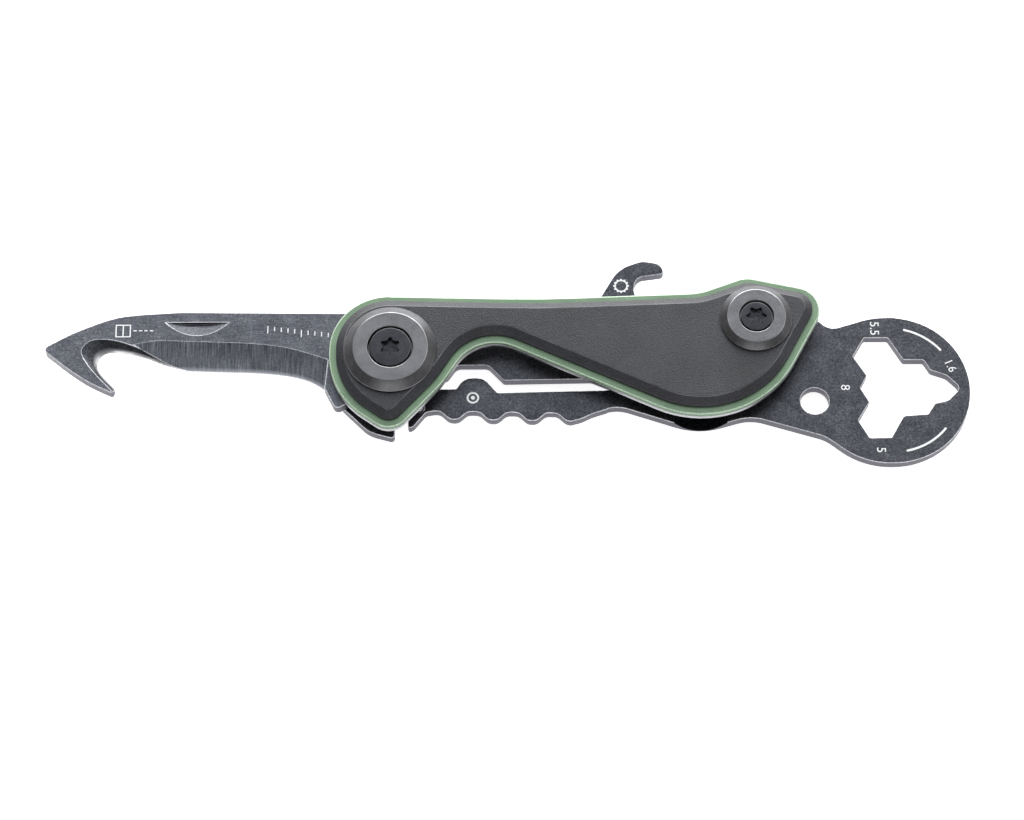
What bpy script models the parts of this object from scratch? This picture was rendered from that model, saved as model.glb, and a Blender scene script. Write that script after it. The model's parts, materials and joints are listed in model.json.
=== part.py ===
"""Folding multi tool: hook-tipped blade, steel frame with lock bar, opener and spanner head.

The tool lies on its back. +X runs from the blade's tip to the spanner head, +Y points to the
blade's spine and the opener, and +Z is out of the textured front scale. Outlines are written in
millimetres from the blade pivot's axis and are scaled to metres when a mesh is made.
"""
import math
from collections import namedtuple

import bmesh
import bpy
from mathutils import Matrix, Vector

MM = 0.001
ARC_STEP = 12.0                      # degrees of turn per segment on rounded corners
ROUND_SIDES = 40                     # sides of the turned parts

# Where the blade pivot stands, so that the origin is under the middle of the whole tool.
PIVOT_X, PIVOT_Y = -15.735, -0.445

# Heights of the layers above the surface that the tool lies on.
STACK_GAP = 0.05                     # between layers that rest on each other
REAR_COLLAR_TOP = 1.15
FRAME_LOW, FRAME_TOP = 1.20, 2.80
BLADE_LOW, BLADE_TOP = 3.05, 4.75
LINER_LOW, LINER_TOP = 5.00, 5.70
ACCENT_LOW, ACCENT_TOP = 5.75, 6.45
SCALE_LOW, SCALE_WALL, SCALE_TOP = 6.50, 6.95, 7.70
SCALE_MARGIN, SCALE_SLOPE = 1.0, 1.1  # scale's step back from the accent plate, and its sloped edge

# The two fastener stacks: the blade pivot and the post at the handle's rear end.
POST_X, POST_Y = 49.58, 4.49
PIVOT_SLEEVE_R, PIVOT_THREAD_R, PIVOT_WASHER_R = 2.50, 1.40, 5.00
POST_SLEEVE_R, POST_THREAD_R, POST_SPACER_R = 1.70, 1.00, 2.60
FIT = 0.10                           # radial clearance of every pin and sleeve
Collar = namedtuple("Collar", "flange_r face_r recess_r bore_r height rim floor")
PIVOT_COLLAR_FRONT = Collar(6.28, 5.04, 3.05, 1.55, 1.25, 0.30, 0.30)
PIVOT_COLLAR_BACK = Collar(6.28, 5.40, 3.05, 1.55, 1.15, 0.30, 0.25)
POST_COLLAR_FRONT = Collar(4.85, 3.92, 2.34, 1.15, 1.00, 0.30, 0.25)
POST_COLLAR_BACK = Collar(4.85, 4.05, 2.34, 1.15, 1.15, 0.30, 0.25)
Screw = namedtuple("Screw", "head_r head_height shank_r shank_length socket_depth socket_turn")
PIVOT_SCREW_FRONT = Screw(2.82, 0.88, PIVOT_THREAD_R, 3.00, 0.75, 30.0)
PIVOT_SCREW_BACK = Screw(2.82, 0.70, PIVOT_THREAD_R, 3.90, 0.50, 30.0)
POST_SCREW_FRONT = Screw(2.12, 0.68, POST_THREAD_R, 2.90, 0.58, 0.0)
POST_SCREW_BACK = Screw(2.12, 0.70, POST_THREAD_R, 3.90, 0.50, 0.0)
TORX_R, TORX_LOBE = 1.18, 0.19       # mean radius of a T10 socket and the height of its lobes

# Blade stop: the pin meets one shoulder of the tang when open and another when folded.
PIN_ORBIT, PIN_ANGLE, PIN_R = 6.93, 113.4, 1.00
TANG_R, LOBE_R = 5.70, 8.30
STOP_CLEARANCE = 0.6                 # degrees between the pin and either shoulder

# Blade grinds and nail nick.
EDGE_THICKNESS, HOOK_THICKNESS = 0.12, 0.20
CUTTER_OVERRUN = 0.40                # how far a grinding cutter reaches past the edge it makes
NICK_X, NICK_Y, NICK_DEPTH = -26.60, 5.55, 0.70
NICK_R, NICK_TILT = 15.0, 20.2

# Lock bar: an arm of the frame plate that bends at its root, with a detent ball near its tip.
ROOT_X = 29.0
ROOT_SEAM = 0.10
WAVE_PITCH, WAVE_HEIGHT, WAVE_START, WAVES = 5.30, 0.66, 5.90, 3.5
BALL_X, BALL_Y, BALL_R, BALL_SEAT_R = 3.85, -6.35, 0.60, 0.70
BALL_PROUD = 0.15                    # how far the ball stands out of the lock bar

# Nail scoop in the frame's belly: a shallow groove across its front edge.
SCOOP_X, SCOOP_R, SCOOP_DEPTH, SCOOP_START, SCOOP_LENGTH = 42.0, 5.70, 1.35, -6.60, 6.0

# Spanner head.
HEAD_X, HEAD_Y, HEAD_R = 67.90, -3.87, 10.85
LANYARD_X, LANYARD_Y, LANYARD_R = 57.53, -5.52, 1.94
SPANNERS = {                         # across flats, centre
    "spanner_5_5": (5.60, 66.20, 1.08),
    "spanner_8": (8.15, 68.50, -3.60),
    "spanner_5": (5.05, 66.25, -8.45),
}
POINT_SLOT_CORNERS = [               # driver-tip slot that joins the three spanners
    (68.00, 1.08, 0.0),
    (69.43, 1.08, 0.0),
    (69.78, 0.56, 0.3),
    (72.55, 0.56, 0.45),
    (73.45, -1.00, 0.6),
    (75.60, -1.75, 2.0),
    (77.45, -3.65, 0.8),
    (75.60, -5.55, 1.6),
    (73.85, -5.90, 0.5),
    (72.85, -7.50, 0.45),
    (69.55, -7.75, 0.3),
    (69.17, -8.45, 0.0),
    (68.00, -8.45, 0.0),
]


# ---------------------------------------------------------------- scene and materials

def clear_scene():
    for obj in list(bpy.data.objects):
        bpy.data.objects.remove(obj, do_unlink=True)


def new_collection(name):
    collection = bpy.data.collections.new(name)
    bpy.context.scene.collection.children.link(collection)
    return collection


def new_material(name, colour, roughness, metallic):
    material = bpy.data.materials.new(name)
    material.use_nodes = True
    shader = material.node_tree.nodes["Principled BSDF"]
    shader.inputs["Base Color"].default_value = (*colour, 1.0)
    shader.inputs["Roughness"].default_value = roughness
    shader.inputs["Metallic"].default_value = metallic
    return material


def new_empty(name, x, y, z=0.0):
    empty = bpy.data.objects.new(name, None)
    empty.location = (x * MM, y * MM, z * MM)
    empty.empty_display_size = 5 * MM
    PARTS.objects.link(empty)
    return empty


def new_object(name, mesh, collection, parent, place=(0.0, 0.0, 0.0), turned_over=False):
    """Link a mesh at a place given in millimetres from its parent."""
    obj = bpy.data.objects.new(name, mesh)
    obj.location = [value * MM for value in place]
    obj.rotation_euler.x = math.pi if turned_over else 0.0
    obj.parent = parent
    collection.objects.link(obj)
    return obj


def add_part(name, mesh, finish, parent, place=(0.0, 0.0, 0.0), turned_over=False):
    colour, roughness, metallic = finish
    mesh.materials.clear()
    mesh.materials.append(new_material(name, colour, roughness, metallic))
    return new_object(name, mesh, PARTS, parent, place, turned_over)


# ---------------------------------------------------------------- outlines, in millimetres

def polar(radius, degrees, x=0.0, y=0.0):
    angle = math.radians(degrees)
    return (x + radius * math.cos(angle), y + radius * math.sin(angle))


def arc(radius, start, end, x=0.0, y=0.0):
    steps = max(2, math.ceil(abs(end - start) / ARC_STEP))
    return [polar(radius, start + (end - start) * i / steps, x, y) for i in range(steps + 1)]


def hexagon(across_flats, x, y):
    corner_radius = across_flats / math.sqrt(3.0)
    return [polar(corner_radius, 60 * i, x, y) for i in range(6)]


def torx_outline(turn):
    steps = 36
    return [polar(TORX_R + TORX_LOBE * math.cos(6 * 2 * math.pi * i / steps), turn + 360 * i / steps)
            for i in range(steps)]


def rounded(corners):
    """Turn (x, y, radius) corners into an outline with an arc at each corner."""
    outline = []
    for i, (x, y, radius) in enumerate(corners):
        here = Vector((x, y))
        back = (Vector(corners[i - 1][:2]) - here).normalized()
        ahead = (Vector(corners[(i + 1) % len(corners)][:2]) - here).normalized()
        turn = math.pi - back.angle(ahead)
        if radius == 0.0 or turn < 0.001:
            outline.append((x, y))
            continue
        reach = radius * math.tan(turn / 2)
        centre = here + (back + ahead).normalized() * (radius / math.cos(turn / 2))
        first = here + back * reach - centre
        side = 1.0 if back.x * ahead.y - back.y * ahead.x < 0.0 else -1.0
        steps = max(2, math.ceil(math.degrees(turn) / ARC_STEP))
        for k in range(steps + 1):
            spoke = first.copy()
            spoke.rotate(Matrix.Rotation(side * turn * k / steps, 2))
            outline.append(tuple(centre + spoke))
    return outline


def inset(corners, distance):
    """Move a clockwise outline's corners inwards, keeping its arcs concentric."""
    moved = []
    count = len(corners)
    for i, (x, y, radius) in enumerate(corners):
        here = Vector((x, y))
        come = (here - Vector(corners[i - 1][:2])).normalized()
        leave = (Vector(corners[(i + 1) % count][:2]) - here).normalized()
        inner_come = Vector((come.y, -come.x))
        inner_leave = Vector((leave.y, -leave.x))
        shift = (inner_come + inner_leave) / (1.0 + inner_come.dot(inner_leave)) * distance
        outward_bend = come.x * leave.y - come.y * leave.x < 0.0
        new_radius = radius - distance if outward_bend else radius + distance
        moved.append((x + shift.x, y + shift.y, max(new_radius, 0.2)))
    return moved


HANDLE_CORNERS = [                   # clockwise from the top left, seen from the front
    (-8.40, 9.00, 8.10),
    (20.00, 8.27, 150.0),
    (42.04, 9.08, 7.50),
    (48.39, 11.45, 3.50),
    (58.35, 9.25, 3.40),
    (58.35, 5.56, 3.20),
    (48.31, -13.41, 14.30),
    (11.81, 3.38, 6.10),
    (7.00, -4.35, 15.0),
    (0.27, -11.76, 3.00),
    (-8.40, -5.69, 10.80),
]

OPENER_CORNERS = [                   # the hook that stands out of the frame's top edge
    (27.15, 7.75, 1.00),
    (31.00, 14.40, 4.50),
    (34.30, 15.80, 3.50),
    (36.90, 15.30, 1.50),
    (37.50, 13.75, 0.50),
    (33.45, 13.20, 1.50),
    (33.20, 11.40, 1.50),
    (33.90, 7.80, 1.00),
]

HEAD_CORNERS = [                     # neck, round spanner head and the way back to the belly
    (57.90, 8.79, 1.60),
    (57.90, 7.00, 0.50),
    (59.95, 5.12, 2.20),
    (65.90, 6.98, HEAD_R),
    (HEAD_X + HEAD_R, 6.98, HEAD_R),
    (HEAD_X + HEAD_R, HEAD_Y - HEAD_R, HEAD_R),
    (63.86, HEAD_Y - HEAD_R, 10.50),
    (58.85, -10.80, 5.00),
    (48.80, -7.75, 6.00),
    (41.70, -9.85, 10.30),
    (30.70, -6.15, 4.90),
]

SLOT_CORNERS = [                     # frame's side of the slot that frees the lock bar
    (ROOT_X, -6.75, 0.0),
    (ROOT_X, -3.86, 0.0),
    (30.60, -3.62, 0.30),
    (27.20, -2.15, 1.50),
    (15.30, -2.33, 0.50),
    (13.15, -0.02, 1.20),
    (8.90, -0.02, 1.20),
    (7.60, -1.90, 0.50),
    (4.90, -1.90, 1.00),
    (0.52, -5.40, 1.00),
]

HEEL_CORNERS = [                     # frame's lower left, just outside the handle
    (0.52, -10.95, 0.45),
    (-3.00, -9.95, 4.00),
    (-7.95, -5.00, 6.00),
]

LOCK_BAR_TOP = [                     # lock bar's side of the slot, from its root to its tip
    (ROOT_X - ROOT_SEAM, -3.84, 0.0),
    (14.45, -4.16, 0.60),
    (12.55, -1.93, 2.00),
    (9.85, -1.93, 2.00),
    (8.85, -3.56, 0.40),
    (5.55, -3.57, 1.00),
    (2.32, -6.25, 0.60),
    (2.32, -9.55, 0.30),
    (3.15, -9.05, 0.50),
    (4.75, -7.02, 0.90),
]


def frame_outline():
    body = [(x, y, r) for x, y, r in inset(HANDLE_CORNERS, 0.45)]
    top_left, top_middle, rise, peak = body[:4]
    corners = [top_left, top_middle] + OPENER_CORNERS + [rise, peak] + HEAD_CORNERS
    corners += SLOT_CORNERS + HEEL_CORNERS
    return rounded(corners)


def wave_edge():
    """Lower edge of the lock bar: blunt finger waves whose mean line drops to the root."""
    points = []
    steps = int(WAVES * 10)
    for i in range(steps + 1):
        along = WAVE_PITCH * WAVES * i / steps
        middle = -7.39 - 0.022 * along
        phase = 2 * math.pi * along / WAVE_PITCH
        wave = WAVE_HEIGHT * (math.cos(phase) - 0.06 * math.cos(2 * phase) - 0.09 * math.cos(3 * phase))
        points.append((WAVE_START + along, middle + wave))
    return points


def lock_bar_outline():
    outline = rounded(LOCK_BAR_TOP + [(WAVE_START, -6.83, 0.0), (ROOT_X - ROOT_SEAM, -6.75, 0.0)])
    return outline[:-2] + wave_edge() + [(26.6, -7.65), (27.8, -7.12), (ROOT_X - ROOT_SEAM, -6.78)]


TIP_CORNERS = [(-45.95, 0.29, 0.0), (-47.77, 1.75, 0.65), (-45.95, 2.75, 0.0)]
SPINE_CURVE = [(-45.95, 2.75), (-43.0, 4.35), (-38.6, 6.12), (-35.2, 6.78), (-29.0, 7.20)]
BARB_CURVE = [(-37.75, -4.75), (-39.4, -4.14), (-41.4, -3.08), (-43.8, -1.43), (-45.95, 0.29)]
SPINE_Y = 6.93
EDGE_LINE = [(-27.6, -1.32), (-24.0, -1.48), (-20.0, -1.60), (-16.5, -1.82), (-13.5, -2.25),
             (-11.0, -3.00), (-9.0, -4.20)]
GRIND_LINE = [(-35.3, 2.35), (-31.8, 2.92), (-27.0, 2.78), (-22.0, 2.60), (-18.5, 2.40),
              (-14.5, 1.85), (-11.5, 1.00), (-8.60, 0.00)]
HOOK_CUT = [(-37.60, -3.90), (-39.45, -1.89), (-40.10, -0.42), (-39.42, 1.08), (-37.88, 1.52),
            (-35.76, 1.26), (-33.44, 0.62), (-30.71, -0.46), (-27.62, -1.32)]
HOOK_BEVEL = [(-38.20, -4.20), (-39.90, -2.40), (-41.52, -0.38), (-42.30, 1.40), (-41.30, 2.85),
              (-39.40, 3.17), (-37.26, 2.85), (-33.60, 1.45), (-28.70, -1.29)]


def smooth(points, steps):
    """A Catmull-Rom curve through the points."""
    curve = []
    padded = [points[0]] + points + [points[-1]]
    for i in range(1, len(padded) - 2):
        p0, p1, p2, p3 = (Vector(p) for p in padded[i - 1:i + 3])
        for k in range(steps):
            t = k / steps
            curve.append(tuple(0.5 * (2 * p1 + (p2 - p0) * t + (2 * p0 - 5 * p1 + 4 * p2 - p3) * t * t
                                      + (3 * p1 - p0 - 3 * p2 + p3) * t ** 3)))
    return curve + [points[-1]]


def blade_outline():
    pin_half = math.degrees(math.asin(PIN_R / PIN_ORBIT)) + STOP_CLEARANCE
    open_shoulder = PIN_ANGLE + pin_half
    folded_shoulder = PIN_ANGLE - pin_half - 180.0
    shoulder_reach = SPINE_Y / math.sin(math.radians(open_shoulder))
    tang = [(-7.42, -7.45, 0.75), (-5.60, -6.35, 1.0)]
    ricasso = rounded([(-8.95, -4.35, 0.0)] + tang + [(0.0, -3.0, 0.0)])[:-1]
    lobe = arc(LOBE_R, -125.0, folded_shoulder)
    root = arc(TANG_R, folded_shoulder, open_shoulder)
    tip = smooth(BARB_CURVE, 2)[:-1] + rounded(TIP_CORNERS)[:-1] + smooth(SPINE_CURVE, 3)
    outline = [polar(shoulder_reach, open_shoulder)] + root[::-1] + lobe[::-1] + ricasso[::-1]
    outline += smooth(EDGE_LINE, 2)[::-1][1:] + smooth(HOOK_CUT, 3)[::-1][1:] + tip
    return outline


# ---------------------------------------------------------------- solids

def face_outwards(shape):
    bmesh.ops.recalc_face_normals(shape, faces=shape.faces)
    if shape.calc_volume(signed=True) < 0.0:
        bmesh.ops.reverse_faces(shape, faces=shape.faces)


def evaluated_mesh(name, source):
    """Turn a curve, or an object with modifiers, into a closed welded mesh and remove it."""
    bpy.context.scene.collection.objects.link(source)
    evaluated = source.evaluated_get(bpy.context.evaluated_depsgraph_get())
    mesh = bpy.data.meshes.new_from_object(evaluated)
    bpy.data.batch_remove([source, source.data])
    shape = bmesh.new()
    shape.from_mesh(mesh)
    bmesh.ops.remove_doubles(shape, verts=shape.verts, dist=0.000001)
    face_outwards(shape)
    shape.to_mesh(mesh)
    shape.free()
    mesh.name = name
    return mesh


def plate(name, outline, low, top, holes=()):
    """Extrude an outline with round holes (x, y, radius) into a plate from `low` to `top`."""
    curve = bpy.data.curves.new(name, "CURVE")
    curve.dimensions = "2D"
    curve.fill_mode = "BOTH"
    curve.extrude = (top - low) / 2 * MM
    rings = [outline] + [arc(r, 0, 360, x, y)[:-1] for x, y, r in holes]
    for ring in rings:
        spline = curve.splines.new("POLY")
        spline.points.add(len(ring) - 1)
        spline.use_cyclic_u = True
        for point, (x, y) in zip(spline.points, ring):
            point.co = (x * MM, y * MM, 0.0, 1.0)
    mesh = evaluated_mesh(name, bpy.data.objects.new(name, curve))
    mesh.transform(Matrix.Translation((0.0, 0.0, (top + low) / 2 * MM)))
    return mesh


def turned(name, profile, closed):
    """Turn a (radius, z) profile, which runs top to bottom on its outer side, round the Z axis."""
    outline = bpy.data.meshes.new(name)
    edges = [(i, i + 1) for i in range(len(profile) - 1)]
    if closed:
        edges.append((len(profile) - 1, 0))
    outline.from_pydata([(r * MM, 0.0, z * MM) for r, z in profile], edges, [])
    source = bpy.data.objects.new(name, outline)
    screw = source.modifiers.new("turn", "SCREW")
    screw.steps = screw.render_steps = ROUND_SIDES
    screw.use_merge_vertices = True
    screw.merge_threshold = 0.00001
    mesh = evaluated_mesh(name, source)
    mesh.shade_smooth()
    mesh.set_sharp_from_angle(angle=math.radians(30))
    return mesh


def loft(name, sections):
    """Skin closed rings of equal length (x, y, z in millimetres) and cap both ends."""
    shape = bmesh.new()
    rings = [[shape.verts.new([value * MM for value in point]) for point in ring] for ring in sections]
    size = len(rings[0])
    for near, far in zip(rings, rings[1:]):
        for i in range(size):
            j = (i + 1) % size
            shape.faces.new((near[i], near[j], far[j], far[i]))
    shape.faces.new(rings[0][::-1])
    shape.faces.new(rings[-1])
    shape.normal_update()
    bmesh.ops.triangulate(shape, faces=shape.faces)
    face_outwards(shape)
    mesh = bpy.data.meshes.new(name)
    shape.to_mesh(mesh)
    shape.free()
    return mesh


def rod(name, radius, low, top, x=0.0, y=0.0, sides=ROUND_SIDES):
    shape = bmesh.new()
    bmesh.ops.create_cone(shape, cap_ends=True, segments=sides, radius1=radius * MM, radius2=radius * MM,
                          depth=(top - low) * MM)
    shape.transform(Matrix.Translation((x * MM, y * MM, (top + low) / 2 * MM)))
    mesh = bpy.data.meshes.new(name)
    shape.to_mesh(mesh)
    shape.free()
    mesh.shade_smooth()
    mesh.set_sharp_from_angle(angle=math.radians(30))
    return mesh


def cut(part, mesh):
    """Take a mesh, drawn from the part's own origin, out of the part."""
    cutter = new_object(mesh.name, mesh, CUTTERS, part.parent)
    cutter.location = part.location
    cutter.rotation_euler = part.rotation_euler
    cutter.hide_render = True
    cutter.display_type = "WIRE"
    boolean = part.modifiers.new(mesh.name, "BOOLEAN")
    boolean.operation = "DIFFERENCE"
    boolean.solver = "EXACT"
    boolean.object = cutter


# ---------------------------------------------------------------- finishes

STONEWASHED = ((0.095, 0.098, 0.106), 0.42, 0.85)
LINER_STEEL = ((0.36, 0.37, 0.38), 0.38, 0.9)
ACCENT_GREEN = ((0.175, 0.275, 0.165), 0.5, 0.25)
SCALE_BLACK = ((0.045, 0.046, 0.050), 0.62, 0.0)
COLLAR_STEEL = ((0.15, 0.15, 0.16), 0.36, 0.85)
SCREW_BLACK = ((0.055, 0.055, 0.062), 0.4, 0.8)
SLEEVE_STEEL = ((0.42, 0.42, 0.43), 0.3, 1.0)
BRONZE = ((0.45, 0.28, 0.13), 0.4, 1.0)


# ---------------------------------------------------------------- plates and blade

PIVOT_BORE = (0.0, 0.0, PIVOT_SLEEVE_R + FIT)
POST_BORE = (POST_X, POST_Y, POST_SLEEVE_R + FIT)
PIN_BORE = (*polar(PIN_ORBIT, PIN_ANGLE), PIN_R + FIT)


def build_frame_plate(handle):
    holes = [PIVOT_BORE, POST_BORE, PIN_BORE, (LANYARD_X, LANYARD_Y, LANYARD_R)]
    mesh = plate("frame_plate", frame_outline(), FRAME_LOW, FRAME_TOP, holes)
    part = add_part("frame_plate", mesh, STONEWASHED, handle)
    for name, (across_flats, x, y) in SPANNERS.items():
        cut(part, plate(name, hexagon(across_flats, x, y), FRAME_LOW - 1, FRAME_TOP + 1))
    cut(part, plate("point_slot", rounded(POINT_SLOT_CORNERS), FRAME_LOW - 1, FRAME_TOP + 1))
    scoop = rod("nail_scoop", SCOOP_R, 0.0, SCOOP_LENGTH)
    axis_height = FRAME_TOP - SCOOP_DEPTH + SCOOP_R
    scoop.transform(Matrix.Translation((SCOOP_X * MM, SCOOP_START * MM, axis_height * MM))
                    @ Matrix.Rotation(math.radians(90), 4, "X"))
    cut(part, scoop)


def build_lock_bar(flexure, hinge):
    """The bar and its ball hang from the bend at `hinge`, and are drawn from the pivot."""
    place = [-value for value in hinge]
    bar = plate("lock_bar", lock_bar_outline(), FRAME_LOW, FRAME_TOP, [(BALL_X, BALL_Y, BALL_SEAT_R)])
    add_part("lock_bar", bar, STONEWASHED, flexure, place)
    ball = bmesh.new()
    bmesh.ops.create_uvsphere(ball, u_segments=16, v_segments=10, radius=BALL_R * MM)
    ball_height = FRAME_TOP + BALL_PROUD - BALL_R
    ball.transform(Matrix.Translation((BALL_X * MM, BALL_Y * MM, ball_height * MM)))
    mesh = bpy.data.meshes.new("detent_ball")
    ball.to_mesh(mesh)
    ball.free()
    mesh.shade_smooth()
    add_part("detent_ball", mesh, SLEEVE_STEEL, flexure, place)


def wedge(name, face_line, edge_line, face_z, edge_z, steps):
    """Cutter that slopes a face down from a line on it to a line inside the plate."""
    away = face_z + (3.0 if face_z > edge_z else -3.0)
    sections = []
    for (fx, fy), (ex, ey) in zip(smooth(face_line, steps), smooth(edge_line, steps)):
        over = Vector((ex - fx, ey - fy)).normalized() * CUTTER_OVERRUN
        sections.append([(fx, fy, face_z), (ex, ey, edge_z), (ex + over.x, ey + over.y, edge_z),
                         (ex + over.x, ey + over.y, away), (fx, fy, away)])
    return loft(name, sections)


def nail_nick():
    """Segment of a leaning cylinder whose flat end makes the nick's steep upper wall."""
    tilt = math.radians(NICK_TILT)
    nick = rod("nail_nick", NICK_R, -4.0, 0.0, sides=96)
    place = (NICK_X, NICK_Y + NICK_R * math.sin(tilt), BLADE_TOP - NICK_DEPTH + NICK_R * math.cos(tilt))
    nick.transform(Matrix.Translation([value * MM for value in place])
                   @ Matrix.Rotation(-math.radians(90) - tilt, 4, "X"))
    return nick


def build_blade(pivot):
    part = add_part("blade", plate("blade", blade_outline(), BLADE_LOW, BLADE_TOP, [PIVOT_BORE]),
                    STONEWASHED, pivot)
    middle = (BLADE_LOW + BLADE_TOP) / 2
    grind_edge = [(-33.40, 0.50)] + [(x, y - 0.03) for x, y in EDGE_LINE]
    hook_bevel = [(-37.20, -5.25)] + HOOK_BEVEL + [(-26.90, -2.20)]
    hook_edge = [(-36.70, -4.87)] + HOOK_CUT + [(-26.20, -2.10)]
    for side, face, sign in (("front", BLADE_TOP, 0.5), ("back", BLADE_LOW, -0.5)):
        edge_z = middle + sign * EDGE_THICKNESS
        hook_z = middle + sign * HOOK_THICKNESS
        cut(part, wedge("edge_grind_" + side, GRIND_LINE, grind_edge, face, edge_z, 2))
        cut(part, wedge("hook_grind_" + side, hook_bevel, hook_edge, face, hook_z, 2))
    cut(part, nail_nick())


def build_handle_layers(handle):
    outline = rounded(HANDLE_CORNERS)
    liner = plate("steel_liner", outline, LINER_LOW, LINER_TOP, [PIVOT_BORE, POST_BORE, PIN_BORE])
    add_part("steel_liner", liner, LINER_STEEL, handle)
    accent = plate("accent_plate", outline, ACCENT_LOW, ACCENT_TOP, [PIVOT_BORE, POST_BORE])
    add_part("accent_plate", accent, ACCENT_GREEN, handle)
    base = rounded(inset(HANDLE_CORNERS, SCALE_MARGIN))
    face = rounded(inset(HANDLE_CORNERS, SCALE_MARGIN + SCALE_SLOPE))
    levels = ((base, SCALE_LOW), (base, SCALE_WALL), (face, SCALE_TOP))
    scale = loft("front_scale", [[(x, y, z) for x, y in ring] for ring, z in levels])
    part = add_part("front_scale", scale, SCALE_BLACK, handle)
    for name, (x, y, radius) in (("pivot_bore", PIVOT_BORE), ("post_bore", POST_BORE)):
        cut(part, rod(name, radius, SCALE_LOW - 1, SCALE_TOP + 1, x, y))


# ---------------------------------------------------------------- fasteners

def build_tube(name, handle, x, y, outer, inner, low, top, finish):
    profile = [(outer, top), (outer, low), (inner, low), (inner, top)]
    add_part(name, turned(name, profile, closed=True), finish, handle, (x, y, 0.0))


def build_collar(name, handle, place, collar, turned_over):
    """A bevelled ring that stands on a plate and has a recess for a screw head."""
    profile = [(collar.face_r, collar.height), (collar.flange_r, collar.rim), (collar.flange_r, 0.0),
               (collar.bore_r, 0.0), (collar.bore_r, collar.floor), (collar.recess_r, collar.floor),
               (collar.recess_r, collar.height)]
    add_part(name, turned(name, profile, closed=True), COLLAR_STEEL, handle, place, turned_over)


def build_screw(name, handle, place, screw, turned_over):
    """A flat-headed screw with a six-lobed socket, standing on the underside of its head."""
    chamfer = 0.12
    profile = [(0.0, screw.head_height), (screw.head_r - chamfer, screw.head_height),
               (screw.head_r, screw.head_height - chamfer), (screw.head_r, 0.0), (screw.shank_r, 0.0),
               (screw.shank_r, -screw.shank_length), (0.0, -screw.shank_length)]
    part = add_part(name, turned(name, profile, closed=False), SCREW_BLACK, handle, place, turned_over)
    socket_floor = screw.head_height - screw.socket_depth
    cut(part, plate(name + "_socket", torx_outline(screw.socket_turn), socket_floor, screw.head_height + 1))


def build_fastener(site, handle, x, y, collars, screws):
    """A collar and a screw on the front scale, and another pair on the back of the frame."""
    sides = (("front", SCALE_TOP + STACK_GAP, 1.0), ("back", REAR_COLLAR_TOP, -1.0))
    for (side, base, up), collar, screw in zip(sides, collars, screws):
        turned_over = up < 0.0
        build_collar("%s_collar_%s" % (site, side), handle, (x, y, base), collar, turned_over)
        head_base = base + up * (collar.floor + STACK_GAP)
        build_screw("%s_screw_%s" % (site, side), handle, (x, y, head_base), screw, turned_over)


def build_pivot(handle):
    sleeve_low, sleeve_top = FRAME_LOW + STACK_GAP, SCALE_TOP - STACK_GAP
    build_tube("pivot_sleeve", handle, 0.0, 0.0, PIVOT_SLEEVE_R, PIVOT_THREAD_R + FIT, sleeve_low,
               sleeve_top, SLEEVE_STEEL)
    for side, below, above in (("back", FRAME_TOP, BLADE_LOW), ("front", BLADE_TOP, LINER_LOW)):
        build_tube("pivot_washer_" + side, handle, 0.0, 0.0, PIVOT_WASHER_R, PIVOT_SLEEVE_R + FIT,
                   below + STACK_GAP, above - STACK_GAP, BRONZE)
    build_fastener("pivot", handle, 0.0, 0.0, (PIVOT_COLLAR_FRONT, PIVOT_COLLAR_BACK),
                   (PIVOT_SCREW_FRONT, PIVOT_SCREW_BACK))


def build_post(handle):
    sleeve_low, sleeve_top = FRAME_LOW + STACK_GAP, SCALE_TOP - STACK_GAP
    build_tube("post_sleeve", handle, POST_X, POST_Y, POST_SLEEVE_R, POST_THREAD_R + FIT, sleeve_low,
               sleeve_top, SLEEVE_STEEL)
    build_tube("post_spacer", handle, POST_X, POST_Y, POST_SPACER_R, POST_SLEEVE_R + FIT,
               FRAME_TOP + STACK_GAP, LINER_LOW - STACK_GAP, SLEEVE_STEEL)
    build_fastener("post", handle, POST_X, POST_Y, (POST_COLLAR_FRONT, POST_COLLAR_BACK),
                   (POST_SCREW_FRONT, POST_SCREW_BACK))


def build_stop_pin(handle):
    x, y = polar(PIN_ORBIT, PIN_ANGLE)
    pin = rod("stop_pin", PIN_R, FRAME_LOW + STACK_GAP, LINER_TOP - STACK_GAP, x, y, sides=24)
    add_part("stop_pin", pin, SLEEVE_STEEL, handle)


clear_scene()
PARTS = new_collection("multi_tool")
CUTTERS = new_collection("cutters")

handle_origin = new_empty("handle_origin", PIVOT_X, PIVOT_Y)
blade_pivot = new_empty("blade_pivot", PIVOT_X, PIVOT_Y)
FLEXURE = (ROOT_X, -5.0, (FRAME_LOW + FRAME_TOP) / 2)
lock_flexure = new_empty("lock_flexure", PIVOT_X + FLEXURE[0], PIVOT_Y + FLEXURE[1], FLEXURE[2])

build_frame_plate(handle_origin)
build_lock_bar(lock_flexure, FLEXURE)
build_blade(blade_pivot)
build_handle_layers(handle_origin)
build_pivot(handle_origin)
build_post(handle_origin)
build_stop_pin(handle_origin)
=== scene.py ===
"""Looks of the folding multi tool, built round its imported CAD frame.

Outlines are in millimetres from the blade pivot's axis, as in the CAD source, and each layer's heights
are read from the frame. Every CAD node is replaced by a finer piece of the same size: plates with
rounded rims, ground blade faces, filleted turned parts and procedural metal, plastic and print.
"""

import json
import math

import bmesh
import bpy
from mathutils import Matrix, Vector

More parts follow.
